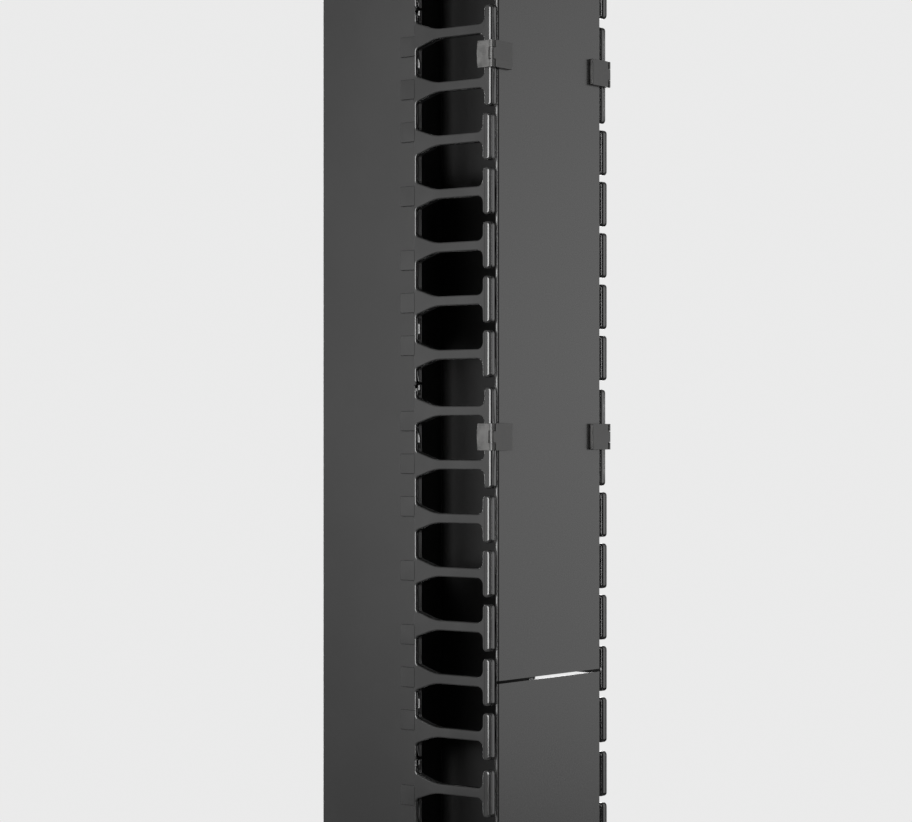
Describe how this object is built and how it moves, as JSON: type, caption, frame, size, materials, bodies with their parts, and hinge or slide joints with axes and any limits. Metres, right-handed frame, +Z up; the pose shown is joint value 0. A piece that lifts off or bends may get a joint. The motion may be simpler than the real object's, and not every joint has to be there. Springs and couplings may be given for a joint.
{
  "type": "vertical cable manager",
  "caption": "Tall black rack cable manager: a folded steel trough with T-shaped finger combs on both front edges and two hinged covers held by clips.",
  "frame": {"origin": "centre of the bounding box at its base, where the manager stands on the floor", "axes": "+Z up along the manager, -Y towards the covers and fingers, +X to the right seen from the front"},
  "size_m": [0.1662, 0.188, 2.1336],
  "materials": {
    "trough_coat": "fine-textured black powder coat on folded steel",
    "cover_coat": "satin black powder coat on folded steel",
    "comb_plastic": "black moulded plastic with a soft sheen",
    "clip_plastic": "dark grey moulded plastic, a little mottled",
    "pin_steel": "drawn steel pin",
    "rivet": "black blind rivet"
  },
  "bodies": {
    "root": {"base_plate": "trough_coat", "top_plate": "trough_coat", "left_side_panel": "trough_coat", "right_side_panel": "trough_coat", "cross_plates": "trough_coat", "cross_plate_rivets": "rivet", "end_plate_rivets": "rivet", "left_comb_1": "comb_plastic", "left_comb_2": "comb_plastic", "left_comb_3": "comb_plastic", "left_comb_4": "comb_plastic", "left_comb_5": "comb_plastic", "left_comb_6": "comb_plastic", "left_comb_7": "comb_plastic", "right_comb_1": "comb_plastic", "right_comb_2": "comb_plastic", "right_comb_3": "comb_plastic", "right_comb_4": "comb_plastic", "right_comb_5": "comb_plastic", "right_comb_6": "comb_plastic", "right_comb_7": "comb_plastic", "lower_left_brackets": "clip_plastic", "lower_right_brackets": "clip_plastic", "upper_left_brackets": "clip_plastic", "upper_right_brackets": "clip_plastic", "lower_hinge_pins": "pin_steel", "upper_hinge_pins": "pin_steel"},
    "lower_cover": {"lower_cover": "cover_coat", "lower_left_flaps": "clip_plastic", "lower_right_flaps": "clip_plastic"},
    "upper_cover": {"upper_cover": "cover_coat", "upper_left_flaps": "clip_plastic", "upper_right_flaps": "clip_plastic"}
  },
  "joints": [
    {"name": "lower_cover_hinge", "type": "hinge", "parent": "root", "child": "lower_cover", "pos_m": [0.081, -0.0919, 0.42228], "axis": [0, 0, 1], "range_deg": [0, 110]},
    {"name": "upper_cover_hinge", "type": "hinge", "parent": "root", "child": "upper_cover", "pos_m": [0.081, -0.0919, 1.57797], "axis": [0, 0, 1], "range_deg": [0, 110]}
  ]
}
